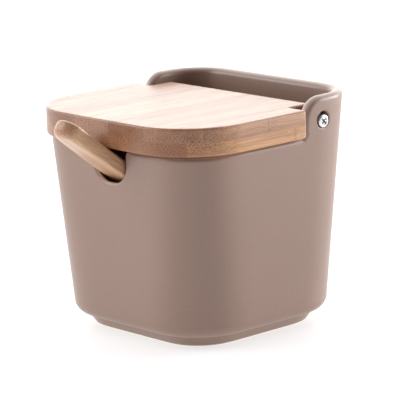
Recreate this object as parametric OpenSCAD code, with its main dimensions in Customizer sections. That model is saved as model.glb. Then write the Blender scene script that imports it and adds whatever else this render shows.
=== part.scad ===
// Square-plan glazed sugar bowl with a hinged laminated bamboo lid and a spoon that leans out
// through a notch in the front rim. Millimetres. +Z is up, the spoon points to -Y, the hinge is
// on the +Y side, and the origin is the centre of the foot on the table.

/* [Bowl] */
// Width of the bowl at the front rim
rim_w = 94.4; // [84:1:104]
// Depth of the bowl at the front rim
rim_d = 91.2; // [82:1:102]
// Height of the front rim
rim_z = 77.25; // [62:0.25:92]
// Slope of the walls from upright, in degrees
draft = 2.8; // [1:0.1:5]
// Corner radius of the plan at the rim
rim_corner_r = 21; // [16:1:26]
// Corner radius of the plan at the foot of the walls
base_corner_r = 25.2; // [18:0.2:27]
// Height of the raised back above the front rim
back_rise = 15.15; // [13.5:0.05:18]
// Radius of the rounded shoulder where the raised back begins
back_shoulder_r = 8; // [6:0.5:9]
// Distance of the raised back's front edge behind the lid's shoulders
back_setback = 1.2; // [0.8:0.1:2]
// Thickness of the walls
wall = 4.8; // [3.5:0.1:6]
// Thickness of the floor above the foot
floor_t = 5; // [4:0.5:8]
// Radius where the walls meet the floor inside
floor_round = 8; // [5:0.5:10]
// Radius of the curve from the walls into the base
base_round = 5.2; // [3:0.2:8]

/* [Foot] */
// Height of the foot
foot_h = 4.5; // [3:0.1:6]
// Inward slope of the foot over its height
foot_taper = 3.2; // [1:0.2:4]
// Width of the ring that the bowl stands on
foot_ring = 4; // [3:0.5:8]
// Depth of the hollow inside the ring
foot_recess = 1.2; // [0.8:0.2:2]

/* [Spoon notch] */
// Width of the notch
notch_w = 19; // [18:0.2:24]
// Depth of the notch below the front rim
notch_depth = 14.3; // [12:0.1:17]
// Radius of the two lower corners of the notch
notch_r = 8; // [5:0.5:9]
// Distance of the notch's narrowest line behind the outside of the wall
notch_lip = 1.2; // [0.8:0.1:2]
// Widening of the notch towards the outside of the wall
notch_flare_out = 0.7; // [0.3:0.1:1.2]
// Widening of the notch towards the inside of the wall
notch_flare_in = 2.6; // [2.4:0.1:3.2]

/* [Lid] */
// Overhang of the lid past the side walls
lid_side_over = 2.8; // [2:0.1:5]
// Overhang of the lid past the front wall
lid_front_over = 3.6; // [2:0.1:6]
// Thickness of the lid board
lid_t = 11; // [10:0.1:14]
// Plan corner radius of the lid
lid_corner_r = 27.8; // [18:0.2:28]
// Distance from the hinge axis forward to the shoulders of the lid
shoulder_run = 11.4; // [10:0.1:13]
// Gap between the tongue of the lid and each raised side wall
tongue_gap = 2.2; // [1:0.1:4]
// Distance of the hinge axis behind the middle of the bowl
hinge_y = 24.1; // [20:0.1:26]
// Distance of the hinge axis below the middle of the board
hinge_drop = 0.7; // [0:0.1:1]
// Distance from the hinge axis forward to the centre of the lid's rounded rear edge
nose_setback = 1.6; // [0:0.2:2.4]
// Gap between the lid and the rim under it
lid_gap = 0.25; // [0.2:0.05:0.5]
// Thickness of the lower layer of the board
lower_ply_t = 5.4; // [4.6:0.1:6]
// Width of the upper layer's first strip, on the -X side; the middle strips share the rest
upper_first_w = 15; // [12:0.5:20]
// Width of the upper layer's last strip, on the +X side
upper_last_w = 5; // [3:0.5:8]
// Width of the lower layer's first strip, on the -X side
lower_first_w = 16; // [12:0.5:20]
// Width of the lower layer's last strip, on the +X side
lower_last_w = 9; // [6:0.5:9]

/* [Hinge screws] */
// Diameter of the screw head
head_d = 5.2; // [4.6:0.1:6]
// Length of the straight part of the screw head
head_h = 1.7; // [1.2:0.1:2.2]
// Height of the crown on the screw head
crown = 0.5; // [0.3:0.1:0.6]
// Depth of the edge of the head below the outside of the wall
head_sunk = 0.2; // [0:0.1:0.6]
// Diameter over the screw thread
thread_d = 2.9; // [2.6:0.1:3.2]
// Diameter of the core under the thread
core_d = 2.1; // [1.8:0.1:2.3]
// Distance from one thread turn to the next
thread_pitch = 1.1; // [0.8:0.1:1.4]
// Length of the screw below its head
screw_len = 19; // [16:0.5:22]
// Diameter of the hole through the wall
hole_d = 6.5; // [6.2:0.1:7.4]
// Running clearance where the head rests in the hole
pivot_gap = 0.05; // [0.02:0.01:0.1]

/* [Spoon] */
// Distance of the spoon's end above the floor inside the bowl
head_clear = 2.2; // [1.5:0.1:6]
// Least distance of the spoon's end from the back wall
back_clear = 4; // [2:0.5:8]
// Angle of the handle above level, in degrees
spoon_tilt = 36.5; // [34:0.5:39]
// Length of handle outside the lip of the notch
spoon_out = 34; // [30:0.1:40]
// Thickness at the tip of the handle
tip_t = 6.4; // [5.5:0.1:7.5]
// Thickness where it passes under the lid, and beyond
stem_t = 5.6; // [4:0.1:6]
// Distance outward from the notch's lip to where the handle starts to thicken
under_lid = 11; // [8:0.5:12]
// Width across the rounded tip of the handle
tip_w = 12.6; // [10:0.2:14]
// Greatest width of the handle, where it passes the notch
stem_w = 15; // [12:0.2:16]
// Width of the neck behind the spoon's head
neck_w = 9; // [7:0.5:11]
// Width of the spoon's head
head_w = 28; // [22:1:32]
// Length of the spoon's head
head_len = 36; // [30:1:40]
// Depth of the hollow in the head
scoop_depth = 3.25; // [2:0.25:3.5]
// Width of the rim round the hollow
scoop_rim = 2; // [1.5:0.25:3]
// Gap between the handle and the lip of the notch
spoon_gap = 0.2; // [0.2:0.1:0.6]

/* [Hidden] */
UPPER = ["upper_strip_1", "upper_strip_2", "upper_strip_3", "upper_strip_4", "upper_strip_5",
    "upper_strip_6"];
LOWER = ["lower_strip_1", "lower_strip_2", "lower_strip_3", "lower_strip_4", "lower_strip_5"];
eps = 0.01;
smooth = 56;

// Bowl heights and half sizes
slope = tan(draft);
top_z = rim_z + back_rise;
wall_z0 = foot_h + base_round;
floor_z = foot_h + floor_t;

// Lid box
lid_z0 = rim_z + lid_gap;
lid_z1 = lid_z0 + lid_t;
lid_half_w = rim_w / 2 + lid_side_over;
lid_front_y = -rim_d / 2 - lid_front_over;
shoulder_y = hinge_y - shoulder_run;

// Hinge axis at the middle of the board, and the hole whose bottom carries the head
hinge_z = lid_z0 + lid_t / 2 - hinge_drop;
hole_z = hinge_z + (hole_d - head_d) / 2 - pivot_gap;
pivot_x = half(rim_w, hinge_z);
inner_x_low = half(rim_w, lid_z0) - wall;
tongue_half_w = inner_x_low - tongue_gap;

// Raised back: its front edge stands inside the circle that the lid's shoulders sweep
back_y = shoulder_y + back_setback;

// Screw: the head's seat, and the turns that fit between its point and the lid's edge
seat_x = pivot_x - head_h - head_sunk;
screw_point = 3;
turns = floor((screw_len - screw_point - (seat_x - tongue_half_w)) / thread_pitch);
recess_arm = 1.5;
recess_slot = 0.7;
recess_depth = 1.2;

// Spoon: start of its head, and the ball that hollows it
scoop_half_w = head_w / 2 - scoop_rim;
scoop_r = (pow(scoop_half_w, 2) + pow(scoop_depth, 2)) / (2 * scoop_depth);

// Where the handle rests: its two lower edges sit on the curved corners of the notch
notch_z = rim_z - notch_depth;
lip_y = -half(rim_d, notch_z) + notch_lip;
corner_x = notch_w / 2 - notch_r;
rest_z = notch_z + notch_r - sqrt(pow(notch_r, 2) - pow(stem_w / 2 - corner_x, 2)) + spoon_gap;

// Length of the spoon: it ends above the floor or short of the back wall, whichever comes first
run_to_floor = (rest_z - floor_z - head_clear) / sin(spoon_tilt);
back_wall_y = half(rim_d, floor_z) - wall - back_clear;
run_to_back = (back_wall_y - lip_y - stem_t * sin(spoon_tilt)) / cos(spoon_tilt);
spoon_len = spoon_out + min(run_to_floor, run_to_back);
neck_y = spoon_len - head_len;

// Half a plan size at a height, following the slope of the walls
function half(size, z) = size / 2 + (z - rim_z) * slope;
// Plan corner radius at a height, between its values at the base and at the rim
function corner(z) = base_corner_r + (rim_corner_r - base_corner_r) * (z - wall_z0) / (rim_z - wall_z0);

// Four thin discs at height z: the corners of the plan at corner_z, drawn in by inset
module corners(z, inset, corner_z) {
    r = max(corner(corner_z) - inset, 4);
    x = half(rim_w, corner_z) - inset - r;
    y = half(rim_d, corner_z) - inset - r;
    for (sx = [-1, 1], sy = [-1, 1])
        translate([sx * x, sy * y, z]) cylinder(r = r, h = eps, $fn = smooth);
}

// Outer body of the bowl: sloping walls that curve in to the top of the foot
module bowl_outside() {
    hull() {
        corners(top_z - eps, 0, top_z);
        for (a = [0 : 22.5 : 90])
            corners(wall_z0 - base_round * sin(a), base_round * (1 - cos(a)), wall_z0);
    }
}

// Foot: a short tapered plinth
module foot() {
    hull() {
        corners(foot_h, base_round, wall_z0);
        corners(0, base_round + foot_taper, wall_z0);
    }
}

// Cavity: follows the walls, with a rounded floor
module cavity() {
    hull() {
        corners(top_z + 1, wall, top_z + 1);
        for (a = [0 : 30 : 90])
            corners(floor_z + floor_round * (1 - sin(a)), wall + floor_round * (1 - cos(a)),
                floor_z + floor_round);
    }
}

// Space above the front rim, in front of the raised back with its rounded shoulder
module above_front_rim() {
    reach = lid_half_w + 20;
    rotate([90, 0, 90]) translate([0, 0, -reach]) linear_extrude(2 * reach) difference() {
        union() {
            translate([-reach, rim_z]) square([reach + back_y, top_z]);
            translate([back_y - eps, top_z - back_shoulder_r])
                square([back_shoulder_r + eps, back_shoulder_r + 2]);
        }
        translate([back_y + back_shoulder_r, top_z - back_shoulder_r])
            circle(r = back_shoulder_r, $fn = 96);
    }
}

// Slab of the notch's outline, widened by grow on its sides and below, with its front face at y
module notch_slab(y, grow) {
    r = notch_r + grow;
    translate([0, y + eps, 0]) rotate([90, 0, 0]) linear_extrude(eps) {
        for (s = [-1, 1])
            translate([s * corner_x, notch_z + notch_r]) circle(r = r, $fn = 72);
        translate([-corner_x - r, notch_z + notch_r]) square([2 * (corner_x + r), notch_depth]);
    }
}

// Notch in the front wall: narrowest at its lip, and wider towards both faces of the wall
module notch() {
    hull() {
        notch_slab(lip_y - 4 * notch_lip, notch_flare_out * 4);
        notch_slab(lip_y, 0);
    }
    hull() {
        notch_slab(lip_y, 0);
        notch_slab(lip_y + 2 * (wall - notch_lip), notch_flare_in * 2);
    }
}

// The bowl, one piece of glazed stoneware
module bowl() {
    color("rosybrown") difference() {
        union() {
            bowl_outside();
            foot();
        }
        cavity();
        above_front_rim();
        notch();
        translate([-lid_half_w, hinge_y, hole_z]) rotate([0, 90, 0])
            cylinder(d = hole_d, h = 2 * lid_half_w, $fn = 64);
        recess_w = half(rim_w, wall_z0) - base_round - foot_taper - foot_ring;
        recess_d = half(rim_d, wall_z0) - base_round - foot_taper - foot_ring;
        recess_r = corner(wall_z0) - base_round - foot_taper - foot_ring;
        translate([0, 0, -eps]) linear_extrude(foot_recess + eps)
            rounded_rectangle(recess_w, recess_d, recess_r);
    }
}

// Flat rectangle with round corners, from its half sizes
module rounded_rectangle(w, d, r) {
    square([2 * (w - r), 2 * d], center = true);
    square([2 * w, 2 * (d - r)], center = true);
    for (sx = [-1, 1], sy = [-1, 1])
        translate([sx * (w - r), sy * (d - r)]) circle(r = r, $fn = 96);
}

// Plan of the lid: a rounded front half with two shoulders, and a narrower tongue to the hinge
module lid_plan() {
    w = lid_half_w;
    r = lid_corner_r;
    for (s = [-1, 1])
        translate([s * (w - r), lid_front_y + r]) circle(r = r, $fn = 128);
    translate([-w + r, lid_front_y]) square([2 * (w - r), r]);
    translate([-w, lid_front_y + r]) square([2 * w, shoulder_y - lid_front_y - r]);
    translate([-tongue_half_w, shoulder_y - 1]) square([2 * tongue_half_w, shoulder_run + lid_t]);
}

// Side view of the lid: a board whose rear edge is a half round near the hinge axis
module lid_side() {
    nose = lid_t / 2;
    nose_y = hinge_y - nose_setback;
    translate([lid_front_y - 1, lid_z0]) square([nose_y - lid_front_y + 1, lid_t]);
    translate([nose_y, lid_z0 + nose]) circle(r = nose, $fn = 96);
}

// One glued strip of the board, between two side planes and two heights
module strip(x0, x1, z0, z1) {
    difference() {
        intersection() {
            translate([0, 0, z0]) linear_extrude(z1 - z0) lid_plan();
            rotate([90, 0, 90]) translate([0, 0, x0]) linear_extrude(x1 - x0) lid_side();
        }
        for (s = [-1, 1])
            translate([s * (pivot_x - screw_len), hinge_y, hinge_z]) rotate([0, s * 90, 0])
                cylinder(d = core_d, h = screw_len, $fn = 32);
    }
}

// Side plane number k of a layer whose first and last strips have set widths
function seam(k, count, first_w, last_w) =
    k == 0 ? -lid_half_w : k == count ? lid_half_w :
    first_w - lid_half_w + (k - 1) * (2 * lid_half_w - first_w - last_w) / (count - 2);

module upper_strip(k) {
    n = len(UPPER);
    color(k % 2 == 0 ? "burlywood" : "navajowhite")
        strip(seam(k, n, upper_first_w, upper_last_w), seam(k + 1, n, upper_first_w, upper_last_w),
            lid_z0 + lower_ply_t, lid_z1);
}

module lower_strip(k) {
    n = len(LOWER);
    color(k % 2 == 0 ? "tan" : "wheat")
        strip(seam(k, n, lower_first_w, lower_last_w), seam(k + 1, n, lower_first_w, lower_last_w),
            lid_z0, lid_z0 + lower_ply_t);
}

// Half profile of the screw from its point to its crown: core, thread turns, and the domed head
function thread_turn(y) = [[core_d / 2, y], [thread_d / 2, y + thread_pitch * 0.35],
    [thread_d / 2, y + thread_pitch * 0.5], [core_d / 2, y + thread_pitch * 0.85]];
function screw_profile() = concat([[0, -screw_len]],
    [for (k = [0 : turns - 1]) each thread_turn(screw_point - screw_len + k * thread_pitch)],
    [[core_d / 2, 0], [head_d / 2, 0]],
    [for (a = [0 : 15 : 90])
        [head_d / 2 - crown + crown * cos(a), head_h + crown * sin(a)]],
    [[0, head_h + crown]]);

// Pan-head screw with a cross recess, its head outward in the wall and its thread in the lid
module hinge_screw() {
    color("silver") translate([seat_x, hinge_y, hinge_z]) rotate([0, 90, 0]) difference() {
        rotate_extrude($fn = 64) polygon(screw_profile());
        for (a = [45, 135])
            rotate([0, 0, a]) translate([-recess_arm, -recess_slot / 2, head_h + crown - recess_depth])
                cube([2 * recess_arm, recess_slot, recess_depth + 1]);
    }
}

module hinge_screw_right() {
    hinge_screw();
}

module hinge_screw_left() {
    mirror([1, 0, 0]) hinge_screw();
}

// Half width of the spoon at distance y from its tip: round tip, swelling stem, neck and oval head
function ease(a, b, t) = a + (b - a) * (1 - cos(180 * min(max(t, 0), 1))) / 2;
function spoon_half(y) =
    y < tip_w / 2 ? sqrt(max(0, tip_w * tip_w / 4 - pow(tip_w / 2 - y, 2))) :
    y < spoon_out ? ease(tip_w / 2, stem_w / 2, (y - tip_w / 2) / (spoon_out - tip_w / 2)) :
    y < neck_y ? ease(stem_w / 2, neck_w / 2, (y - spoon_out) / (neck_y - spoon_out)) :
    y < neck_y + head_len / 2 ? ease(neck_w / 2, head_w / 2, (y - neck_y) / (head_len / 2)) :
    head_w / 2 * sqrt(max(0, 1 - pow((y - neck_y - head_len / 2) / (head_len / 2), 2)));

// Plan of the spoon, tip at 0 and head towards +Y, its ends sampled finely where they are round
module spoon_plan() {
    tip = [for (a = [0 : 10 : 80]) tip_w / 2 * (1 - cos(a))];
    mid = [for (y = [tip_w / 2 : 2.5 : neck_y + head_len / 2]) y];
    end = [for (a = [10 : 10 : 90]) neck_y + head_len / 2 * (1 + sin(a))];
    ys = concat(tip, mid, end);
    n = len(ys);
    polygon(concat([for (y = ys) [spoon_half(y), y]],
        [for (k = [1 : n - 2]) [-spoon_half(ys[n - 1 - k]), ys[n - 1 - k]]]));
}

// Side view of the spoon: thickest at the tip, and even from where the lid's front edge passes over it
module spoon_side() {
    polygon([[0, 0], [spoon_len, 0], [spoon_len, stem_t], [spoon_out - under_lid, stem_t], [0, tip_t]]);
}

// The spoon, cut from one piece of bamboo, leaning on the lip of the notch
module spoon() {
    color("peru") translate([0, lip_y, rest_z]) rotate([-spoon_tilt, 0, 0])
        translate([0, -spoon_out, 0]) difference() {
            intersection() {
                linear_extrude(tip_t) spoon_plan();
                rotate([90, 0, 90]) translate([0, 0, -head_w]) linear_extrude(2 * head_w) spoon_side();
            }
            translate([0, spoon_len - head_len / 2, stem_t - scoop_depth + scoop_r])
                sphere(r = scoop_r, $fn = 96);
        }
}

bowl();
for (k = [0 : len(UPPER) - 1])
    upper_strip(k);
for (k = [0 : len(LOWER) - 1])
    lower_strip(k);
hinge_screw_left();
hinge_screw_right();
spoon();
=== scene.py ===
import bmesh
import bpy
import numpy as np
from mathutils import Matrix, Vector


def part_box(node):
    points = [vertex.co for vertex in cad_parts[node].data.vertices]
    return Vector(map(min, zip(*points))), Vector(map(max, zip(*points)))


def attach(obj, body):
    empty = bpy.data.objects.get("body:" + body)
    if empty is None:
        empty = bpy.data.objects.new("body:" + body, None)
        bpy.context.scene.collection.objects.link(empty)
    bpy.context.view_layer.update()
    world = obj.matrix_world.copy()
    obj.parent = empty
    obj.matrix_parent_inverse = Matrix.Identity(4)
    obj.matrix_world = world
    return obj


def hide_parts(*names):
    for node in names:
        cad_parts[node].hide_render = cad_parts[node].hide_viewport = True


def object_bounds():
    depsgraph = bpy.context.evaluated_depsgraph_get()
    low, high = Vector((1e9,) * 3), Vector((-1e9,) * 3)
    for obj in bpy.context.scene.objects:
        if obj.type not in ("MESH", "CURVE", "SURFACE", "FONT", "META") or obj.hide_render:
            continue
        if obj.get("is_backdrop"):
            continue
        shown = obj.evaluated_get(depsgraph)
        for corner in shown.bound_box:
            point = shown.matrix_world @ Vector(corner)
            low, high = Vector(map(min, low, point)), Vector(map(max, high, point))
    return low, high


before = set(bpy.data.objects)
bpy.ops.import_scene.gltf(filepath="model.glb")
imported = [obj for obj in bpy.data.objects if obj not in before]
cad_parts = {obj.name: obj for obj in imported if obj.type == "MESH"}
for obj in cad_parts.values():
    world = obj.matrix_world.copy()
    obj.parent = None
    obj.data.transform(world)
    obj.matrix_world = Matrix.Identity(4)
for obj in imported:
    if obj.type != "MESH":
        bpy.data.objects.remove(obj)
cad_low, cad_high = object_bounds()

# Sizes in this script are millimetres, and meshes are written in metres.
MM = 0.001

# ---------------------------------------------------------------- the table and the studio
# The bowl stands on a broad white sheet that glows a little, in a white surround that is dimmer
# on the side where the camera stands, with three soft boxes. None of it is part of the object.


def node(tree, kind, inputs=(), **settings):
    """Adds a shader node. The inputs map a socket's name or number to a value or an output."""
    made = tree.nodes.new("ShaderNode" + kind)
    for name, value in settings.items():
        setattr(made, name, value)
    for key, value in dict(inputs).items():
        if isinstance(value, bpy.types.NodeSocket):
            tree.links.new(value, made.inputs[key])
        else:
            made.inputs[key].default_value = value
    return made


def material(name, base=(0.8, 0.8, 0.8), roughness=0.5, **values):
    """A new material, with its tree and its Principled shader set to values that hold all over."""
    made = bpy.data.materials.new(name)
    made.use_nodes = True
    shader = made.node_tree.nodes["Principled BSDF"]
    shader.inputs["Base Color"].default_value = (*base, 1)
    shader.inputs["Roughness"].default_value = roughness
    for key, value in values.items():
        shader.inputs[key.replace("_", " ")].default_value = value
    return made, made.node_tree, shader


def mesh_object(name, mesh, *materials):
    """A new object in the scene from a mesh, with its materials."""
    made = bpy.data.objects.new(name, mesh)
    bpy.context.scene.collection.objects.link(made)
    for m in materials:
        mesh.materials.append(m)
    return made


def srgb(red, green, blue):
    """Linear colour of an 8-bit screen colour."""
    c = np.array((red, green, blue)) / 255
    return tuple(float(v) for v in np.where(c < 0.04045, c / 12.92, ((c + 0.055) / 1.055) ** 2.4))


# The camera's turn, rise and roll as angles, its distance in metres, its lens and its aim
CAMERA_TURN = np.radians(47.66)
CAMERA_RISE = np.radians(12.51)
CAMERA_ROLL = np.radians(-1.78)
CAMERA_REACH = 1.0204
CAMERA_LENS = 231.23
AIM_RIGHT = 0.98
AIM_HEIGHT = 48.35

toward_camera = Vector((np.sin(CAMERA_TURN), -np.cos(CAMERA_TURN), 0))
back = toward_camera * np.cos(CAMERA_RISE) + Vector((0, 0, np.sin(CAMERA_RISE)))
right = Vector((np.cos(CAMERA_TURN), np.sin(CAMERA_TURN), 0))
up = back.cross(right)
rolled_right = right * np.cos(CAMERA_ROLL) + up * np.sin(CAMERA_ROLL)
rolled_up = up * np.cos(CAMERA_ROLL) - right * np.sin(CAMERA_ROLL)
camera = bpy.data.objects.new("camera", bpy.data.cameras.new("camera"))
camera.data.lens = CAMERA_LENS
turn = Matrix((rolled_right, rolled_up, back)).transposed().to_4x4()
place = right * AIM_RIGHT * MM + Vector((0, 0, AIM_HEIGHT * MM)) + back * CAMERA_REACH
camera.matrix_world = Matrix.Translation(place) @ turn
bpy.context.scene.collection.objects.link(camera)
bpy.context.scene.camera = camera

bpy.context.scene.view_settings.view_transform = "Standard"

# The surround's brightness is dim + bright * t^2, with t = 0 behind the camera and 1 before it
SURROUND_BRIGHT = 2.6
SURROUND_DIM = 0.12
world = bpy.data.worlds.new("studio")
world.use_nodes = True
bpy.context.scene.world = world
sky = world.node_tree
direction = node(sky, "TexCoord").outputs["Generated"]
facing = node(sky, "VectorMath", {0: direction, 1: toward_camera}, operation="DOT_PRODUCT")
away = node(sky, "MapRange", {"Value": facing.outputs["Value"], "From Min": 1.0, "From Max": -1.0})
squared = node(sky, "Math", {0: away.outputs["Result"], 1: 2.0}, operation="POWER")
strength = node(sky, "Math", {0: squared.outputs[0], 1: SURROUND_BRIGHT, 2: SURROUND_DIM},
                operation="MULTIPLY_ADD")
sky.nodes["Background"].inputs["Color"].default_value = (1, 1, 1, 1)
sky.links.new(strength.outputs[0], sky.nodes["Background"].inputs["Strength"])


LIGHTS_AIM = Vector((0, 0, 0.04))


def soft_box(name, place, watts, size):
    """A square soft box turned towards the middle of the bowl."""
    made = bpy.data.objects.new(name, bpy.data.lights.new(name, "AREA"))
    made.data.energy, made.data.size = watts, size
    made.location = place
    made.rotation_euler = (Vector(place) - LIGHTS_AIM).to_track_quat("Z", "Y").to_euler()
    bpy.context.scene.collection.objects.link(made)


soft_box("front_box", (-0.5, -0.95, 0.75), 2.4, 0.8)
soft_box("left_box", (-0.62, -0.72, 0.5), 3.4, 0.6)
soft_box("right_box", (0.48, 0.95, 0.22), 9.5, 0.6)

FLOOR_HALF = 6
FLOOR_GREY = 0.5
FLOOR_GLOW = 0.62
floor_corners = [(-FLOOR_HALF, -FLOOR_HALF, 0), (FLOOR_HALF, -FLOOR_HALF, 0),
                 (FLOOR_HALF, FLOOR_HALF, 0), (-FLOOR_HALF, FLOOR_HALF, 0)]
floor_mesh = bpy.data.meshes.new("floor")
floor_mesh.from_pydata(floor_corners, [], [(0, 1, 2, 3)])
floor_white, floor_tree, floor_shader = material("white_sheet", (FLOOR_GREY,) * 3, 0.6,
                                                 Emission_Color=(1, 1, 1, 1),
                                                 Emission_Strength=FLOOR_GLOW)
floor_place = node(floor_tree, "TexCoord").outputs["Object"]
mottle = node(floor_tree, "TexNoise", {"Vector": floor_place, "Scale": 3})
floor_tone = node(floor_tree, "MapRange", {"Value": mottle.outputs["Fac"], "To Min": 0.55, "To Max": 0.65})
floor_tree.links.new(floor_tone.outputs["Result"], floor_shader.inputs["Roughness"])
mesh_object("floor", floor_mesh, floor_white)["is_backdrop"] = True

# ---------------------------------------------------------------- the bowl
# One piece of slip-cast stoneware, glazed all over except the ring it stands on. Its four walls
# lean out, the back stands higher to carry the lid, and the front has a notch for the spoon.
# The edges are sponged round before firing. Over them the colour is paler, partly where the glaze runs
# thin and partly as a painted highlight along the lips.

RIM_W, RIM_D, RIM_Z = 94.4, 91.2, 77.25
DRAFT = np.tan(np.radians(2.8))
RIM_CORNER, BASE_CORNER = 21, 25.2
TOP_Z = cad_high.z / MM
WALL = 4.8
FOOT_H, FOOT_TAPER, FOOT_RING, FOOT_RECESS = 4.5, 3.2, 4, 1.2
BASE_ROUND = 5.2
WALL_Z0 = FOOT_H + BASE_ROUND
FLOOR_Z, FLOOR_ROUND = 9.5, 8
NOTCH_HALF, NOTCH_R, NOTCH_LIP = 9.5, 8, 1.2
NOTCH_Z = RIM_Z - 14.3
NOTCH_TOP_R = 3.2
STEP_R, SHOULDER_R = 1, 8
HINGE_Y = 24.1
HINGE_Z = 82.3
BACK_Y = 13.9
LIP_R = 2.3


def rounded(corners, radii, arc_steps, edge_steps, closed=False):
    """Path along straight edges whose corners are true arcs of the given radii.

    An arc starts and ends at radius * tan(turn / 2) from its corner, and between those points it
    is the rational curve ((1-t)^2 A + 2 w t (1-t) V + t^2 C) / (sum of weights), w = cos(turn / 2).
    """
    v = np.array(corners, float)
    ahead = np.roll(v, -1, 0) - v
    ahead /= np.linalg.norm(ahead, axis=1)[:, None]
    behind = np.roll(ahead, 1, 0)
    turning = np.arccos(np.clip((ahead * behind).sum(1), -1, 1))
    if not closed:
        turning[[0, -1]] = 0
    reach = (np.array(radii, float) * np.tan(turning / 2))[:, None]
    start, end = v - behind * reach, v + ahead * reach
    t = np.linspace(0, 1, arc_steps + 1)[:, None]
    path = []
    for k in range(len(v)):
        w = np.cos(turning[k] / 2)
        weights = (1 - t) ** 2 + 2 * w * t * (1 - t) + t**2
        arc = ((1 - t) ** 2 * start[k] + 2 * w * t * (1 - t) * v[k] + t**2 * end[k]) / weights
        path.append(arc if turning[k] > 0 else v[k:k + 1])
        if closed or k < len(v) - 1:
            s = np.linspace(0, 1, edge_steps[k] + 1)[1:-1, None]
            path.append(end[k] * (1 - s) + start[(k + 1) % len(v)] * s)
    return np.concatenate(path)


def skin(name, rows, ends=("fan", "fan"), **attributes):
    """Closed mesh of rings: rows is (rings, points, 3) in millimetres, each ring turning left
    about the way the rows go. Rings are joined by quads, and an end is closed by a fan of
    triangles on the ring's mean, by one flat face, or is left "open" to be merged shut.
    """
    rings, count = rows.shape[:2]
    points = rows.reshape(-1, 3)
    i, j = np.meshgrid(np.arange(rings - 1), np.arange(count), indexing="ij")
    a, b = i * count + j, i * count + (j + 1) % count
    faces = np.stack([a, b, b + count, a + count], -1).reshape(-1, 4).tolist()
    flat = []
    for ring, kind in zip((0, rings - 1), ends):
        loop = ring * count + np.arange(count)
        loop = loop[::-1] if ring == 0 else loop
        if kind == "fan":
            points = np.vstack([points, rows[ring].mean(0)])
            hub = np.full(count, len(points) - 1)
            faces += np.stack([hub, loop, np.roll(loop, -1)], -1).tolist()
        elif kind == "face":
            flat.append(len(faces))
            faces.append(loop.tolist())
    mesh = bpy.data.meshes.new(name)
    mesh.from_pydata((points * MM).tolist(), [], faces)
    smooth = np.ones(len(faces), bool)
    smooth[flat] = False
    mesh.polygons.foreach_set("use_smooth", smooth)
    for key, values in attributes.items():
        padded = np.zeros(len(points))
        padded[:rings * count] = np.broadcast_to(values, (rings, count)).ravel()
        mesh.attributes.new(key, "FLOAT", "POINT").data.foreach_set("value", padded)
    mesh.update()
    return mesh


def half(size, z):
    return size / 2 + (z - RIM_Z) * DRAFT


SIDE_X, SIDE_Y = RIM_W / 2 - RIM_CORNER, RIM_D / 2 - RIM_CORNER
BEND = RIM_CORNER * np.pi / 2
ROUND = 4 * (SIDE_X + SIDE_Y + BEND)
MARKS = np.cumsum([-SIDE_X, 2 * SIDE_X, BEND, 2 * SIDE_Y, BEND, 2 * SIDE_X, BEND, 2 * SIDE_Y, BEND,
                   2 * SIDE_X])
CORE_X, CORE_Y = (-1, 1, 1, 1, 1, -1, -1, -1, -1, 1), (-1, -1, -1, 1, 1, 1, 1, -1, -1, -1)
FACING = (-90, -90, 0, 0, 90, 90, 180, 180, 270, 270)
BLEND = np.linspace(-9, 9, 13)


def blended(s, values):
    """Values between the marks, averaged over a short stretch of the rim so that the walls run
    into the corners without a line."""
    return np.mean([np.interp(s + shift, MARKS, values) for shift in BLEND], 0)


def wall_point(s, z, depth, plan_z=None):
    """Point of the bowl's wall: s runs round the rim from the middle of the front towards +X,
    z is the height, and depth is measured in from the outside face.

    The plan is the path of its corner centres plus the corner radius along the outward normal,
    whose angle turns only in the corners. Its half sizes and radius follow the height plan_z.
    """
    plan_z = z if plan_z is None else plan_z
    s = s % ROUND
    radius = BASE_CORNER + (RIM_CORNER - BASE_CORNER) * (plan_z - WALL_Z0) / (RIM_Z - WALL_Z0)
    angle = np.radians(blended(s, FACING))
    core_x = blended(s, CORE_X) * (half(RIM_W, plan_z) - radius)
    core_y = blended(s, CORE_Y) * (half(RIM_D, plan_z) - radius)
    return np.stack(np.broadcast_arrays(core_x + (radius - depth) * np.cos(angle),
                                        core_y + (radius - depth) * np.sin(angle), z), -1)


STEP_S = SIDE_X + BEND + SIDE_Y + BACK_Y


def rim_path(back_off):
    """Half of the rim as (distance round, height), moved back_off into the wall: up out of the
    notch, along the front rim, up the front edge of the raised back and along its top."""
    b = back_off
    corners = [(0, NOTCH_Z - b), (NOTCH_HALF + b, NOTCH_Z - b), (NOTCH_HALF + b, RIM_Z - b),
               (STEP_S + b, RIM_Z - b), (STEP_S + b, TOP_Z - b), (ROUND / 2, TOP_Z - b)]
    radii = [0, NOTCH_R + b, NOTCH_TOP_R - b, STEP_R + b, SHOULDER_R - b, 0]
    return rounded(corners, radii, 16, [3, 4, 96, 10, 76])


def both_sides(half_ring, sign):
    """A full ring from its half: the front middle and the back middle are not repeated."""
    return np.concatenate([half_ring, sign * half_ring[-2:0:-1]])


edge, edge_back = rim_path(0), rim_path(1)
rim_s, rim_z = both_sides(edge[:, 0], -1), both_sides(edge[:, 1], 1)
into_s = both_sides(edge_back[:, 0], -1) - rim_s
into_z = both_sides(edge_back[:, 1], 1) - rim_z
# Feet of the columns on the base: they spread away from the notch and from the raised edge
along = np.concatenate([[0], np.cumsum(np.linalg.norm(np.diff(edge, axis=0), axis=1))])
notch_end = np.argmax(edge[:, 1] > RIM_Z - 0.01)
step = np.argmax(edge[:, 0] > STEP_S - STEP_R / 2)
top_end = np.argmax(edge[:, 1] > TOP_Z - 0.01)
knees = [0, notch_end, step, top_end, len(edge) - 1]
column_feet = [0, edge[notch_end, 0] + 13, edge[step, 0] + 0.4, edge[top_end, 0] + 9, ROUND / 2]
foot_s = both_sides(np.interp(along, along[knees], column_feet), -1)
in_notch = both_sides(1 / (1 + np.exp((edge[:, 0] - NOTCH_HALF - 3) / 0.8)), 1)

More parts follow.
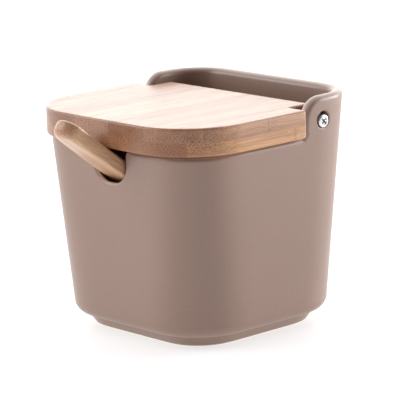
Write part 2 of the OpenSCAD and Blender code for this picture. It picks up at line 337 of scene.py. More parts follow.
# Lip section as (depth into the wall, distance back from the rim): a half round on the rim, and
# in the notch a quarter round at the outside that opens to the inside, where the handle lies
lip_turn = np.linspace(0, np.pi, 19)
rim_depth = np.where(lip_turn < np.pi / 2, LIP_R * (1 - np.cos(lip_turn)),
                     WALL - (WALL - LIP_R) * (1 + np.cos(lip_turn)))
rim_back = LIP_R * (1 - np.sin(lip_turn))
share = np.linspace(0, 1, 10)
opening = share[1:] * (WALL - NOTCH_LIP)
notch_depth = np.concatenate([NOTCH_LIP * (1 - np.cos(share * np.pi / 2)), NOTCH_LIP + opening])
notch_back = np.concatenate([NOTCH_LIP * (1 - np.sin(share * np.pi / 2)),
                             np.hypot(0.85 * opening, 0.3) - 0.3])


def lip_row(k):
    """One ring of the lip, blended along the rim from the notch's section to the rim's."""
    depth = notch_depth[k] * in_notch + rim_depth[k] * (1 - in_notch)
    off = notch_back[k] * in_notch + rim_back[k] * (1 - in_notch)
    return rim_s + into_s * off, rim_z + into_z * off, depth


COLUMN_BEND = 4


def wall_rows(k, z0, share_up, depth):
    """Rings of a wall face from the height z0 to the lip's ring k. Each column stands upright at
    its foot and leans over to its place on the rim by the power COLUMN_BEND of its height."""
    end_s, end_z, _ = lip_row(k)
    v = share_up[:, None]
    return wall_point(foot_s + (end_s - foot_s) * v**COLUMN_BEND, z0 + (end_z - z0) * v, depth)


quarter = np.linspace(0, np.pi / 2, 9)[:, None]
sole = BASE_ROUND + FOOT_TAPER
# Section under the walls as (depth, height): foot ring, foot, and the turn into the wall
foot_line = rounded([(sole + FOOT_RING + 6, FOOT_RECESS), (sole + FOOT_RING, FOOT_RECESS),
                     (sole + FOOT_RING, 0), (sole, 0), (BASE_ROUND, FOOT_H), (BASE_ROUND - 2.2, FOOT_H)],
                    [0, 0.5, 0.5, 1.1, 0.7, 0], 5, [3, 1, 3, 5, 1])[:-1]
foot_rows = np.stack([wall_point(foot_s, z, d, WALL_Z0) for d, z in foot_line])
turn_rows = np.stack([wall_point(foot_s, WALL_Z0 - BASE_ROUND * np.cos(a),
                                 BASE_ROUND * (1 - np.sin(a)), WALL_Z0)
                      for a in np.linspace(0.28, np.pi / 2, 10)[:-1]])
under_rows = foot_rows[0] * np.array([0.25, 0.5, 0.75])[:, None, None] * (1, 1, 0) + (0, 0, FOOT_RECESS)
outer_rows = wall_rows(0, WALL_Z0, np.linspace(0, 1, 34)[:-1], 0)
lip_rows = np.stack([wall_point(*lip_row(k)) for k in range(len(lip_turn))])
inner_z0 = FLOOR_Z + FLOOR_ROUND
inner_rows = wall_rows(-1, inner_z0, np.linspace(1, 0, 26)[1:], WALL)
bowl_floor = np.stack([wall_point(foot_s, inner_z0 - FLOOR_ROUND * np.sin(a),
                                  WALL + FLOOR_ROUND * (1 - np.cos(a)), inner_z0)
                       for a in quarter[1:, 0]])
floor_disc = bowl_floor[-1] * np.array([0.8, 0.6, 0.4, 0.2])[:, None, None] * (1, 1, 0) + (0, 0, FLOOR_Z)
bowl_rows = np.concatenate([under_rows, foot_rows, turn_rows, outer_rows, lip_rows, inner_rows,
                            bowl_floor, floor_disc])
before_lip = len(under_rows) + len(foot_rows) + len(turn_rows) + len(outer_rows)
# Mask peaking on the top of the lip: the paler colour there is partly thin glaze and partly a painted
# highlight
thin_glaze = np.zeros(len(bowl_rows))
thin_glaze[before_lip:before_lip + len(lip_rows)] = np.sin(lip_turn)
bowl_mesh = skin("bowl_stoneware", bowl_rows, thin_glaze=thin_glaze[:, None])

# Hinge holes through the two raised walls, opened out softly at both faces of the wall
HOLE_R, HOLE_Z, HOLE_SOFT = 3.25, HINGE_Z + 0.6, 0.75
CUTTER_PAST = 3
WALL_FROM = 0.1
hole_x = half(RIM_W, HINGE_Z)
soft = HOLE_SOFT * (1 - np.cos(quarter[:, 0]))
soft_r = HOLE_SOFT * (1 - np.sin(quarter[:, 0]))


def revolve(profile, count):
    """Rings about the X axis from a profile of (x, radius)."""
    angle = np.linspace(0, 2 * np.pi, count, endpoint=False)
    x, r = np.asarray(profile, float).T[:, :, None]
    return np.stack(np.broadcast_arrays(x, r * np.cos(angle), r * np.sin(angle)), -1)


def hole_profile():
    """Half profile of the cutter along one wall: wide, soft edge, straight, soft edge, wide."""
    inside, outside = hole_x - WALL, hole_x
    opening_in = np.stack([inside + soft, HOLE_R + soft_r], -1)
    opening_out = np.stack([outside - soft[::-1], HOLE_R + soft_r[::-1]], -1)
    wide = HOLE_R + HOLE_SOFT
    start, end = (inside - CUTTER_PAST, wide), (outside + CUTTER_PAST, wide)
    return np.concatenate([[start], opening_in, opening_out, [end]])


def made_cutter(side):
    """The cutter of one hole, sheared so that its soft edges follow the leaning, curving wall."""
    rings = revolve(hole_profile(), 72) + (0, HINGE_Y, HOLE_Z)
    face = wall_point(STEP_S - BACK_Y + HINGE_Y + np.linspace(-12, 14, 90), HINGE_Z, 0)
    rings[..., 0] += np.interp(rings[..., 1], face[:, 1], face[:, 0]) - hole_x
    rings[..., 0] += (rings[..., 2] - HINGE_Z) * DRAFT
    if side < 0:
        rings = rings[::-1] * (-1, 1, 1)
    return mesh_object("cutter", skin("cutter", rings))


def apply_modifier(piece, helper):
    """Keeps the piece's mesh as its modifiers leave it, and removes the helper they used."""
    done = bpy.data.meshes.new_from_object(piece.evaluated_get(bpy.context.evaluated_depsgraph_get()))
    piece.modifiers.clear()
    piece.data = done
    bpy.data.objects.remove(helper)


def apply_cut(piece, cutter):
    """Cuts one closed mesh out of another and keeps the result as the piece's mesh."""
    cut = piece.modifiers.new("cut", "BOOLEAN")
    cut.operation, cut.solver, cut.object = "DIFFERENCE", "EXACT", cutter
    apply_modifier(piece, cutter)


def keep_shading(piece, uncut):
    """Gives the cut wall the smooth normals it had before, up to the soft edge of each hole."""
    at = np.empty(len(piece.data.vertices) * 3)
    piece.data.vertices.foreach_get("co", at)
    _, y, z = at.reshape(-1, 3).T / MM
    outside = np.flatnonzero(np.hypot(y - HINGE_Y, z - HOLE_Z) > HOLE_R + HOLE_SOFT - WALL_FROM)
    piece.vertex_groups.new(name="wall").add(outside.tolist(), 1.0, "REPLACE")
    shading = piece.modifiers.new("shading", "DATA_TRANSFER")
    shading.object, shading.vertex_group = uncut, "wall"
    shading.use_loop_data, shading.data_types_loops = True, {"CUSTOM_NORMAL"}
    shading.loop_mapping = "POLYINTERP_NEAREST"
    apply_modifier(piece, uncut)


GLAZE_DEEP, GLAZE_LIGHT = srgb(136, 106, 91), srgb(145, 114, 99)
# The lips' pale colour stands partly for thin glaze and partly for a painted highlight
THIN_GLAZE_AND_HIGHLIGHT, BARE_CLAY = srgb(200, 178, 166), srgb(206, 196, 180)
# Heights in metres between which the bare ring under the foot gives way to glaze
BARE_BELOW, GLAZED_ABOVE = 0.0003, 0.0006
glaze, tree, shader = material("satin_glaze", srgb(142, 112, 97), 0.36, IOR=1.7)
place = node(tree, "TexCoord").outputs["Object"]
cloud = node(tree, "TexNoise", {"Vector": place, "Scale": 28, "Detail": 4})
speck = node(tree, "TexNoise", {"Vector": place, "Scale": 900, "Detail": 2})
body = node(tree, "Mix", {0: cloud.outputs["Fac"], 6: (*GLAZE_DEEP, 1), 7: (*GLAZE_LIGHT, 1)},
            data_type="RGBA")
dust = node(tree, "MapRange", {"Value": speck.outputs["Fac"], "From Min": 0.3, "From Max": 0.7,
                               "To Min": 0.965, "To Max": 1.03})
toned = node(tree, "Mix", {0: 1.0, 6: body.outputs[2], 7: dust.outputs["Result"]}, data_type="RGBA",
             blend_type="MULTIPLY")
# The lips are made paler, partly as thin glaze and partly as a painted highlight
edge_mask = node(tree, "Attribute", attribute_name="thin_glaze").outputs["Fac"]
thin_and_highlit = node(tree, "MapRange", {"Value": edge_mask, "From Min": 0.5, "From Max": 1, "To Max": 0.7})
paler = node(tree, "Mix", {0: thin_and_highlit.outputs["Result"], 6: toned.outputs[2], 7: (*THIN_GLAZE_AND_HIGHLIGHT, 1)},
             data_type="RGBA")
height = node(tree, "SeparateXYZ", {0: place}).outputs["Z"]
bare = node(tree, "MapRange", {"Value": height, "From Min": BARE_BELOW, "From Max": GLAZED_ABOVE,
                               "To Min": 1, "To Max": 0})
fired = node(tree, "Mix", {0: bare.outputs["Result"], 6: paler.outputs[2], 7: (*BARE_CLAY, 1)},
             data_type="RGBA")
sheen = node(tree, "MapRange", {"Value": cloud.outputs["Fac"], "To Min": 0.32, "To Max": 0.4})
dry = node(tree, "Mix", {0: bare.outputs["Result"], 2: sheen.outputs["Result"], 3: 0.85})
waves = node(tree, "TexNoise", {"Vector": place, "Scale": 110, "Detail": 3})
waved = node(tree, "Bump", {"Height": waves.outputs["Fac"], "Strength": 0.12, "Distance": 0.0004})
grit = node(tree, "Bump", {"Height": speck.outputs["Fac"], "Strength": 0.1, "Distance": 0.0001,
                           "Normal": waved.outputs["Normal"]})
tree.links.new(fired.outputs[2], shader.inputs["Base Color"])
tree.links.new(dry.outputs[0], shader.inputs["Roughness"])
tree.links.new(grit.outputs["Normal"], shader.inputs["Normal"])

bowl = mesh_object("bowl_stoneware", bowl_mesh, glaze)
uncut_bowl = mesh_object("uncut_bowl", bowl_mesh.copy())
for side in (1, -1):
    apply_cut(bowl, made_cutter(side))
keep_shading(bowl, uncut_bowl)
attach(bowl, "bowl")
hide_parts("bowl")

# ---------------------------------------------------------------- the bamboo board of the lid
# Two layers of flat bamboo strips, glued edge to edge and face to face with the fibres running
# front to back. The board is cut to a rounded front with two shoulders, its outer edges are
# eased, its rear edge is turned half round to swing by the wall, and it is oiled all over.

LID_Z0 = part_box("lower_strip_3")[0].z / MM
LID_Z1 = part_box("upper_strip_3")[1].z / MM
LID_MID = (LID_Z0 + LID_Z1) / 2
GLUE_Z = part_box("upper_strip_3")[0].z / MM
LID_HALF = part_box("upper_strip_6")[1].x / MM
LID_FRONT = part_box("upper_strip_3")[0].y / MM
LID_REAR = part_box("upper_strip_3")[1].y / MM
LID_CORNER, SHOULDER_Y, TONGUE_HALF = 27.8, 12.7, 40.2
NOSE = (LID_Z1 - LID_Z0) / 2
EASE = 0.9


def board_ring(height, inset):
    """Plan of the board at one height. Its outer edges stand back by inset, and its rear edge
    follows a half round: centre + sqrt(nose^2 - (height - middle)^2)."""
    rear = LID_REAR - NOSE + np.sqrt(max(NOSE**2 - (height - LID_MID) ** 2, 0))
    w, front, tongue = LID_HALF - inset, LID_FRONT + inset, TONGUE_HALF - inset
    shoulder = SHOULDER_Y - inset
    outline = [(w, front), (w, shoulder), (tongue, shoulder), (tongue, rear),
               (-tongue, rear), (-tongue, shoulder), (-w, shoulder), (-w, front)]
    side = [LID_CORNER - inset, 1.5 - inset, 0.5 + inset, 1.2 - inset]
    ring = rounded(outline, side + side[::-1], 28, [6, 2, 6, 40, 6, 2, 6, 40], closed=True)
    return np.column_stack([ring, np.full(len(ring), height)])


def layer_mesh(name, glued, outer):
    """One layer of the board between its glued face and its outer face, whose edge is eased by
    a quarter round; a narrow flat ring ends the curve before the face."""
    way = np.sign(outer - glued)
    heights = list(np.linspace(glued, outer - way * EASE, 9))
    insets = [0] * len(heights)
    for a in np.linspace(0, np.pi / 2, 8)[1:]:
        heights.append(outer - way * EASE * (1 - np.sin(a)))
        insets.append(EASE * (1 - np.cos(a)))
    heights.append(outer)
    insets.append(EASE + 0.25)
    rings = np.stack([board_ring(z, e) for z, e in zip(heights, insets)])
    return skin(name, rings if way > 0 else rings[::-1], ends=("face", "face"))


def keep_values(mesh, **values):
    """Keeps a strip's own values on its mesh, as attributes that its material reads."""
    for key, value in values.items():
        everywhere = np.full(len(mesh.vertices), value)
        mesh.attributes.new(key, "FLOAT", "POINT").data.foreach_set("value", everywhere)


def cut_strip(layer, name, left, right_edge):
    """The part of a layer between two upright planes, closed with flat faces."""
    bm = bmesh.new()
    bm.from_mesh(layer)
    for x, side in ((left, 1), (right_edge, -1)):
        everything = bm.verts[:] + bm.edges[:] + bm.faces[:]
        cut = bmesh.ops.bisect_plane(bm, geom=everything, dist=1e-7, plane_co=(x * MM, 0, 0),
                                     plane_no=(side, 0, 0), clear_inner=True)
        rim = [g for g in cut["geom_cut"] if isinstance(g, bmesh.types.BMEdge)]
        if rim:
            for face in bmesh.ops.contextual_create(bm, geom=rim)["faces"]:
                face.smooth = False
    bmesh.ops.recalc_face_normals(bm, faces=bm.faces)
    mesh = bpy.data.meshes.new(name)
    bm.to_mesh(mesh)
    bm.free()
    mesh.set_sharp_from_angle(angle=np.radians(40))
    return mesh


def group(name, inputs, outputs):
    """A new shader node group with its inputs and outputs, each given as (name, kind, value)."""
    tree = bpy.data.node_groups.new(name, "ShaderNodeTree")
    for key, kind, value in inputs:
        socket = tree.interface.new_socket(key, in_out="INPUT", socket_type="NodeSocket" + kind)
        if value is not None:
            socket.default_value = value
    for key, kind in outputs:
        tree.interface.new_socket(key, in_out="OUTPUT", socket_type="NodeSocket" + kind)
    return tree, tree.nodes.new("NodeGroupInput").outputs, tree.nodes.new("NodeGroupOutput").inputs


def math(tree, operation, a, b=0.0, c=0.0):
    """The result of a shader calculation on up to three values."""
    return node(tree, "Math", {0: a, 1: b, 2: c}, operation=operation).outputs[0]


def spread(tree, value, low, high, to_low=0.0, to_high=1.0):
    """A value taken from one range to another, held at the ends."""
    return node(tree, "MapRange", {"Value": value, "From Min": low, "From Max": high,
                                   "To Min": to_low, "To Max": to_high}).outputs[0]


def stretched(tree, vector, scale):
    """A vector scaled along its own axes."""
    return node(tree, "Mapping", {"Vector": vector, "Scale": scale}).outputs[0]


# Bamboo: fibres run along Y of the vector, which is in millimetres. Bundles are dark dots where
# the fibres are cut across and long fine streaks along them. At a knuckle the fibres swirl and
# a faint brown line crosses the strip.
NO_KNUCKLE = 999.0
KNUCKLE_REACH = 9
DOTS_PER_MM_X, DOTS_PER_MM_Z = 1.25, 1.45
grain, given, out = group("bamboo_grain",
                          [("Vector", "Vector", None), ("Density", "Float", 0.5),
                           ("Knuckle", "Float", NO_KNUCKLE), ("Seed", "Float", 0.0)],
                          [("Bundle", "Float"), ("Streak", "Float"), ("Band", "Float"),
                           ("Line", "Float"), ("Height", "Float")])
seeded = node(grain, "VectorMath", {0: given["Vector"], 1: node(grain, "CombineXYZ", {
    0: given["Seed"], 1: math(grain, "MULTIPLY", given["Seed"], 37.0),
    2: math(grain, "MULTIPLY", given["Seed"], 3.1)}).outputs[0]}, operation="ADD").outputs[0]
from_knuckle = math(grain, "SUBTRACT", node(grain, "SeparateXYZ", {0: given["Vector"]}).outputs["Y"],
                    given["Knuckle"])
near = node(grain, "MapRange", {"Value": math(grain, "ABSOLUTE", from_knuckle),
                                "From Min": KNUCKLE_REACH, "From Max": 0},
            interpolation_type="SMOOTHERSTEP").outputs[0]
drift = node(grain, "TexNoise", {"Vector": stretched(grain, seeded, (0.12, 0.018, 0.12)), "Scale": 1.0,
                                 "Detail": 2}).outputs["Color"]
swirl = node(grain, "TexNoise", {"Vector": stretched(grain, seeded, (0.5, 0.22, 0.5)), "Scale": 1.0,
                                 "Detail": 3}).outputs["Color"]
drift_by = node(grain, "VectorMath", {0: drift, 1: (0.5, 0.5, 0.5)}, operation="SUBTRACT").outputs[0]
swirl_by = node(grain, "VectorMath", {0: swirl, 1: (0.5, 0.5, 0.5)}, operation="SUBTRACT").outputs[0]
swirl_size = math(grain, "MULTIPLY_ADD", near, 2.6, 0.25)
moved = node(grain, "VectorMath", {0: drift_by, 1: (3, 0, 3), 2: seeded},
             operation="MULTIPLY_ADD").outputs[0]
swirl_side = node(grain, "VectorMath", {0: swirl_by, 1: (1, 0, 1)}, operation="MULTIPLY").outputs[0]
swirled = node(grain, "VectorMath", {0: swirl_side, "Scale": swirl_size}, operation="SCALE").outputs[0]
fibre = node(grain, "VectorMath", {0: moved, 1: swirled}, operation="ADD").outputs[0]
parts = node(grain, "SeparateXYZ", {0: fibre}).outputs
across = node(grain, "CombineXYZ", {0: math(grain, "MULTIPLY", parts["X"], DOTS_PER_MM_X),
                                    1: math(grain, "MULTIPLY", parts["Z"], DOTS_PER_MM_Z)}).outputs[0]
cells = node(grain, "TexVoronoi", {"Vector": across, "Scale": 1.0, "Randomness": 0.8},
             voronoi_dimensions="2D")
crowding = node(grain, "TexNoise", {"Vector": stretched(grain, fibre, (0.1, 0.006, 0.3)), "Scale": 1.0,
                                    "Detail": 1}).outputs["Fac"]
size = math(grain, "MULTIPLY_ADD", given["Density"], 0.26, 0.2)
reach = math(grain, "MULTIPLY", size, spread(grain, crowding, 0.35, 0.65, 0.8, 1.2))
inside = math(grain, "SUBTRACT", reach, cells.outputs["Distance"])
bundle = spread(grain, inside, -0.07, 0.07)
fine = node(grain, "TexNoise", {"Vector": stretched(grain, fibre, (3.4, 0.05, 3.4)), "Scale": 1.0,
                                "Detail": 4, "Roughness": 0.6}).outputs["Fac"]
broad = node(grain, "TexNoise", {"Vector": stretched(grain, fibre, (0.33, 0.009, 0.4)), "Scale": 1.0,
                                 "Detail": 3}).outputs["Fac"]
swirled_x = node(grain, "SeparateXYZ", {0: swirled}).outputs["X"]
from_line = math(grain, "ABSOLUTE", math(grain, "MULTIPLY_ADD", swirled_x, 0.3, from_knuckle))
line = node(grain, "MapRange", {"Value": from_line, "From Min": 0.8, "From Max": 0.0},
            interpolation_type="SMOOTHSTEP").outputs[0]
relief = math(grain, "MULTIPLY_ADD", bundle, -0.5, math(grain, "MULTIPLY", fine, 0.8))
found = {"Bundle": bundle, "Streak": fine, "Band": broad, "Line": line, "Height": relief}
for key, value in found.items():
    grain.links.new(value, out[key])


def bamboo(name, light, dark, bundle_color, turned=0.0):
    """Oiled bamboo: its colour runs from light to dark with the bands and streaks, darkens at
    the bundles and at the knuckle line, and its sheen and relief follow the fibres."""
    made, tree, shader = material(name, light, 0.35, IOR=1.5, Coat_Weight=0.28, Coat_Roughness=0.22)
    mapped = node(tree, "Mapping", {"Vector": node(tree, "TexCoord").outputs["Object"],
                                    "Rotation": (turned, 0, 0),
                                    "Scale": (1 / MM, 1 / MM, 1 / MM)}).outputs[0]
    read = {key: node(tree, "Attribute", attribute_name=key).outputs["Fac"]
            for key in ("tone", "density", "knuckle", "seed")}
    fibres = tree.nodes.new("ShaderNodeGroup")
    fibres.node_tree = grain
    for key, source in (("Vector", mapped), ("Density", read["density"]), ("Knuckle", read["knuckle"]),
                        ("Seed", read["seed"])):
        tree.links.new(source, fibres.inputs[key])
    got = fibres.outputs
    facing = node(tree, "Mapping", {"Vector": node(tree, "TexCoord").outputs["Normal"],
                                    "Rotation": (turned, 0, 0)}).outputs[0]
    along = math(tree, "ABSOLUTE", node(tree, "SeparateXYZ", {0: facing}).outputs["Y"])
    end = spread(tree, along, 0.2, 0.65)
    streaked = math(tree, "MULTIPLY_ADD", spread(tree, got["Streak"], 0.32, 0.68), 0.5,
                    math(tree, "MULTIPLY", spread(tree, got["Band"], 0.3, 0.7), 0.5))
    calmed = math(tree, "MULTIPLY", streaked, spread(tree, end, 0, 1, 1.0, 0.35))
    amount = math(tree, "MULTIPLY_ADD", end, 0.62, math(tree, "ADD", calmed, read["tone"]))
    dots = math(tree, "MULTIPLY", got["Bundle"], spread(tree, end, 0, 1, 0.2, 1.0))
    wood = node(tree, "Mix", {0: amount, 6: (*light, 1), 7: (*dark, 1)}, data_type="RGBA").outputs[2]
    dotted = node(tree, "Mix", {0: dots, 6: wood, 7: (*bundle_color, 1)},
                  data_type="RGBA").outputs[2]
    crossed = node(tree, "Mix", {0: math(tree, "MULTIPLY", got["Line"], 0.2), 6: dotted,
                                 7: (*bundle_color, 1)}, data_type="RGBA").outputs[2]
    rough = spread(tree, got["Streak"], 0.25, 0.75, 0.3, 0.46)
    raised = node(tree, "Bump", {"Height": got["Height"], "Strength": 0.35, "Distance": 0.00012})
    tree.links.new(crossed, shader.inputs["Base Color"])
    tree.links.new(rough, shader.inputs["Roughness"])
    tree.links.new(raised.outputs["Normal"], shader.inputs["Normal"])
    return made


upper_bamboo = bamboo("bamboo_upper_layer", light=srgb(208, 163, 128), dark=srgb(138, 90, 62),
                      bundle_color=srgb(70, 40, 26))
lower_bamboo = bamboo("bamboo_lower_layer", light=srgb(214, 163, 116), dark=srgb(150, 98, 64),
                      bundle_color=srgb(50, 26, 18))
upper_layer = layer_mesh("upper_layer", GLUE_Z, LID_Z1)
lower_layer = layer_mesh("lower_layer", GLUE_Z, LID_Z0)
# Each strip's tone, crowding of its bundles, and the place of its knuckle from front to back
UPPER_STRIPS = [(0.05, 0.5, NO_KNUCKLE), (0.12, 0.35, NO_KNUCKLE), (-0.1, 0.55, -22),
                (0.15, 0.45, NO_KNUCKLE), (0.0, 0.62, NO_KNUCKLE), (0.05, 0.6, -8)]
LOWER_STRIPS = [(0.1, 0.5, NO_KNUCKLE), (0.05, 0.4, -30), (0.08, 0.2, NO_KNUCKLE),
                (0.3, 1.0, NO_KNUCKLE), (-0.08, 0.6, 6)]
strips = [("upper", k, upper_layer, upper_bamboo, v) for k, v in enumerate(UPPER_STRIPS)]
strips += [("lower", k, lower_layer, lower_bamboo, v) for k, v in enumerate(LOWER_STRIPS)]
for which, k, layer, finish, (tone, density, knuckle) in strips:
    cad_node = f"{which}_strip_{k + 1}"
    low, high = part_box(cad_node)
    at_left, at_right = low.x / MM < 1 - LID_HALF, high.x / MM > LID_HALF - 1
    mesh = cut_strip(layer, f"board_{cad_node}", low.x / MM - at_left, high.x / MM + at_right)
    keep_values(mesh, tone=tone, density=density, knuckle=knuckle, seed=3.7 * k + len(which))
    strip = mesh_object(f"board_{cad_node}", mesh, finish)
    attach(strip, "lid")
    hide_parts(cad_node)

# ---------------------------------------------------------------- the two hinge screws
# Zinc-plated pan-head wood screws. Each head turns in the hole of its raised wall, and the thread
# bites into the edge of the board. The cross recess and the crown are pressed.

HEAD_R, HEAD_H, CROWN = 2.6, 1.7, 0.5
SHANK_R, THREAD_R, PITCH, SCREW_LEN, POINT_LEN = 1.05, 1.45, 1.1, 19, 3
SEAT_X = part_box("hinge_screw_right")[1].x / MM - HEAD_H - CROWN
THREAD_END = TONGUE_HALF - SEAT_X - 0.8
TOOTH_TOP, TOOTH_FLANK = 1.25, 0.24
ARM, SLOT, RECESS = 1.5, 0.42, 1.3
SLOT_LEAN, ARM_LEAN = 0.09, 0.35
AROUND = 120


def thread_rows():
    """Rings from the point to the seat: radius = shank + depth * tooth(axial place / pitch - turn),
    where the tooth is a ridge with sloping flanks that fades in at the point and out at its end."""
    h = np.arange(-SCREW_LEN, THREAD_END + 1, PITCH / 11)[:, None]
    turn = np.linspace(0, 1, AROUND, endpoint=False)[None, :]
    tooth = np.clip(TOOTH_TOP - np.abs((h / PITCH - turn) % 1 - 0.5) / TOOTH_FLANK, 0, 1)
    fade = np.clip((h + SCREW_LEN) / POINT_LEN, 0, 1) ** 0.7
    core = SHANK_R * fade + 0.02
    run_out = np.clip(fade * 1.2, 0, 1) * np.clip((THREAD_END - h) / PITCH, 0, 1)
    ridge = (THREAD_R - SHANK_R) * tooth * run_out
    radius = core + ridge
    return np.stack([np.broadcast_to(h, radius.shape), radius * np.cos(2 * np.pi * turn),
                     radius * np.sin(2 * np.pi * turn)], -1)


def head_rows():
    """Rings of the head: the underside, its rounded rim, and the crowned top, where a cross is
    sunk by RECESS inside its arms and its walls lean by a little."""
    rim = rounded([(THREAD_END + 2, SHANK_R), (0, SHANK_R), (0, HEAD_R), (HEAD_H + 0.35, HEAD_R),
                   (HEAD_H + CROWN, HEAD_R * 0.45)], [0, 0.25, 0.2, 0.55, 0], 6, [4, 3, 3, 3])[:-1]
    rings = revolve(rim, AROUND)
    radius = np.linspace(HEAD_R * 0.62, 0.03, 44)[:, None]
    angle = np.linspace(0, 2 * np.pi, AROUND, endpoint=False)[None, :]
    u, v = radius * np.cos(angle), radius * np.sin(angle)
    across, along_arm = np.abs(u + v) * np.sqrt(0.5), np.abs(u - v) * np.sqrt(0.5)
    narrow, wide = np.minimum(across, along_arm), np.maximum(across, along_arm)
    sunk = np.clip((SLOT - narrow) / SLOT_LEAN, 0, 1) * np.clip((ARM - wide) / ARM_LEAN, 0, 1)
    top = HEAD_H + CROWN * (1 - (radius / HEAD_R) ** 2)
    crown = np.stack([top - RECESS * sunk, u, v], -1)
    return np.concatenate([rings, crown])


steel, tree, shader = material("zinc_plated_steel", srgb(214, 214, 214), 0.24, Metallic=1.0)
place = node(tree, "TexCoord").outputs["Object"]
wear = node(tree, "TexNoise", {"Vector": place, "Scale": 900, "Detail": 4})
scratch = node(tree, "TexNoise", {"Vector": stretched(tree, place, (900, 5000, 900)), "Scale": 1,
                                  "Detail": 2})
plated = node(tree, "Mix", {0: wear.outputs["Fac"], 6: (*srgb(196, 196, 198), 1),
                            7: (*srgb(232, 231, 228), 1)}, data_type="RGBA")
tree.links.new(plated.outputs[2], shader.inputs["Base Color"])
tree.links.new(spread(tree, wear.outputs["Fac"], 0.3, 0.7, 0.18, 0.34), shader.inputs["Roughness"])
tree.links.new(node(tree, "Bump", {"Height": scratch.outputs["Fac"], "Strength": 0.15,
                                   "Distance": 0.00005}).outputs["Normal"], shader.inputs["Normal"])
screw_rows = np.concatenate([thread_rows(), head_rows()]) + (SEAT_X, 0, 0)
for which, way in (("right", 1), ("left", -1)):
    rings = screw_rows * (way, way, 1) + (0, HINGE_Y, HINGE_Z)
    screw = mesh_object(f"screw_{which}", skin(f"screw_{which}", rings), steel)
    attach(screw, "lid")
    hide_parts(f"hinge_screw_{which}")

# ---------------------------------------------------------------- the spoon
# Cut from one thick slat of bamboo: a flat handle with eased edges and a round tip, thicker
# towards the tip, a waisted neck, and an oval head hollowed on its upper face. It leans out
# through the notch on the notch's two rounded lower corners.

SPOON_LEN, SPOON_OUT, SPOON_TILT = 125.05, 34, np.radians(36.5)
TIP_T, STEM_T, THICKER_FROM = 6.4, 5.6, 23
TIP_W, STEM_W, NECK_W, HEAD_W, HEAD_LEN = 12.6, 15, 9, 28, 36
SCOOP, SCOOP_RIM, SPOON_EASE, SPOON_GAP = 3.25, 2, 1.3, 0.2
# The underside is rounder at the head, over a run from the neck, and at the tip
HEAD_ROUND, HEAD_RUN = 2.6, 12
TIP_ROUND, TIP_RUN = 2.2, 7
UNDER_HEIGHT = 0.85
LIP_Y = -half(RIM_D, NOTCH_Z) + NOTCH_LIP
CORNER_X = NOTCH_HALF - NOTCH_R
REST_Z = NOTCH_Z + NOTCH_R - np.sqrt(NOTCH_R**2 - (STEM_W / 2 - CORNER_X) ** 2) + SPOON_GAP
NECK_Y = SPOON_LEN - HEAD_LEN
HEAD_Y = NECK_Y + HEAD_LEN / 2


def eased(a, b, t):
    """A smooth change from a to b as t goes from 0 to 1."""
    return a + (b - a) * (1 - np.cos(np.pi * np.clip(t, 0, 1))) / 2


def spoon_width(y):
    """Half width at a distance from the tip: a round tip, a swelling stem, a neck, an oval head."""
    tip = np.sqrt(np.clip((TIP_W / 2) ** 2 - (TIP_W / 2 - y) ** 2, 0, None))
    stem = eased(TIP_W / 2, STEM_W / 2, (y - TIP_W / 2) / (SPOON_OUT - TIP_W / 2))
    waist = eased(STEM_W / 2, NECK_W / 2, (y - SPOON_OUT) / (NECK_Y - SPOON_OUT))
    bowl_in = eased(NECK_W / 2, HEAD_W / 2, (y - NECK_Y) / (HEAD_LEN / 2))
    oval = HEAD_W / 2 * np.sqrt(np.clip(1 - ((y - HEAD_Y) / (HEAD_LEN / 2)) ** 2, 0, 1))
    return np.select([y < TIP_W / 2, y < SPOON_OUT, y < NECK_Y, y < HEAD_Y],
                     [tip, stem, waist, bowl_in], oval)


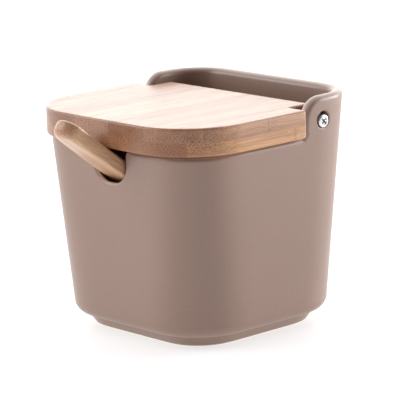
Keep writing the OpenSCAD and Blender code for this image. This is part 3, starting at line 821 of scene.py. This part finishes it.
def spoon_rows():
    """Rings that start on the underside's middle line, go out to the eased edge, up the side and
    in over the top. The top dips in the head by SCOOP * (1 - r^2), r being the oval's radius."""
    turn_in = np.linspace(0, np.pi / 2, 16)
    y = np.concatenate([TIP_W / 2 * (1 - np.cos(turn_in[:-1])), np.linspace(TIP_W / 2, HEAD_Y, 150),
                        HEAD_Y + HEAD_LEN / 2 * np.sin(np.linspace(0, np.pi / 2, 34)[1:])])
    x = spoon_width(y)
    ring_x, ring_y = both_sides(x, -1), both_sides(y, 1)
    dx, dy = np.roll(ring_x, -1) - np.roll(ring_x, 1), np.roll(ring_y, -1) - np.roll(ring_y, 1)
    length = np.hypot(dx, dy)
    out_x, out_y = dy / length, -dx / length
    thick = STEM_T + (TIP_T - STEM_T) * np.clip(1 - ring_y / THICKER_FROM, 0, 1)
    in_head = np.clip((ring_y - NECK_Y) / HEAD_RUN, 0, 1)
    head_under = HEAD_ROUND * in_head**2 * (3 - 2 * in_head)
    under = SPOON_EASE + head_under + TIP_ROUND * np.exp(-((ring_y / TIP_RUN) ** 2))
    rows = []
    for f in (0, 0.25, 0.5, 0.75, 0.92, 1):
        rows.append([(ring_x - out_x * under) * f, ring_y - out_y * under, 0 * ring_y])
    for a in np.linspace(0, np.pi / 2, 8)[1:]:
        back_in = under * (1 - np.sin(a))
        rows.append([ring_x - out_x * back_in, ring_y - out_y * back_in,
                     under * UNDER_HEIGHT * (1 - np.cos(a))])
    for a in np.linspace(0, np.pi / 2, 7):
        back_in = SPOON_EASE * (1 - np.cos(a))
        rows.append([ring_x - out_x * back_in, ring_y - out_y * back_in,
                     thick - SPOON_EASE * (1 - np.sin(a))])
    for f in np.linspace(1, 0, 20)[1:]:
        px, py = (ring_x - out_x * SPOON_EASE) * f, ring_y - out_y * SPOON_EASE
        r = np.hypot(px / (HEAD_W / 2 - SCOOP_RIM), (py - HEAD_Y) / (HEAD_LEN / 2 - SCOOP_RIM))
        dip = np.hypot(np.clip(1 - r**2, 0, None) * SCOOP, 0.25) - 0.25
        rows.append([px, py, thick - dip])
    return np.stack([np.stack(np.broadcast_arrays(*r), -1) for r in rows])


def leaned(rows):
    """From the spoon's own frame, its tip at the origin and its head towards +Y, to its rest."""
    y, z = rows[..., 1] - SPOON_OUT, rows[..., 2]
    c, s = np.cos(SPOON_TILT), np.sin(SPOON_TILT)
    return np.stack([rows[..., 0], LIP_Y + y * c + z * s, REST_Z - y * s + z * c], -1)


spoon_mesh = skin("bamboo_spoon", leaned(spoon_rows()), ends=("open", "open"))
bm = bmesh.new()
bm.from_mesh(spoon_mesh)
bmesh.ops.remove_doubles(bm, verts=bm.verts, dist=2e-6)
bmesh.ops.dissolve_degenerate(bm, edges=bm.edges, dist=1e-7)
bm.to_mesh(spoon_mesh)
bm.free()
keep_values(spoon_mesh, tone=-0.1, density=0.55, knuckle=NO_KNUCKLE, seed=11.0)
spoon_bamboo = bamboo("bamboo_spoon", light=srgb(226, 186, 150), dark=srgb(158, 106, 74),
                      bundle_color=srgb(96, 56, 38), turned=SPOON_TILT)
spoon = mesh_object("bamboo_spoon", spoon_mesh, spoon_bamboo)
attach(spoon, "spoon")
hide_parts("spoon")

low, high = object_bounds()
